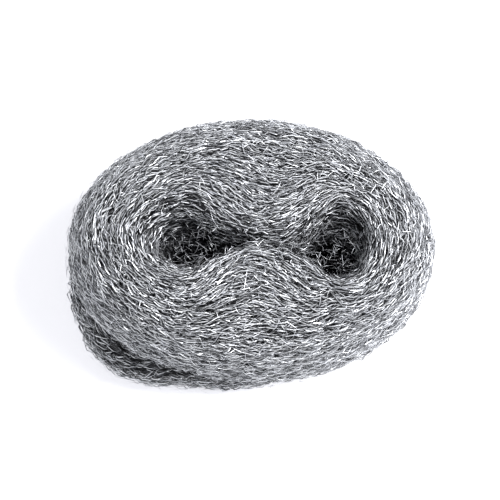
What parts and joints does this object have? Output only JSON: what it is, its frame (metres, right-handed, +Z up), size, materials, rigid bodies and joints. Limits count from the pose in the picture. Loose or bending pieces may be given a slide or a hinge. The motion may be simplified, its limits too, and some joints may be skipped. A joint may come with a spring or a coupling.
{
  "type": "steel wool bundle",
  "caption": "Oval roll of steel wool lying on its end: one ribbon wound on itself, pinched in the middle, with two open eyes",
  "frame": {"origin": "centre of the footprint, at the level of the surface that the roll lies on", "axes": "+Z up along the winding axis, +X along the oval's length towards the rounder eye, -Y towards the side with the tail"},
  "size_m": [0.1208, 0.087, 0.05],
  "materials": {
    "steel_wool": "dull grey tangle of fine steel strands"
  },
  "bodies": {
    "root": {"wool_roll": "steel_wool"}
  },
  "joints": []
}
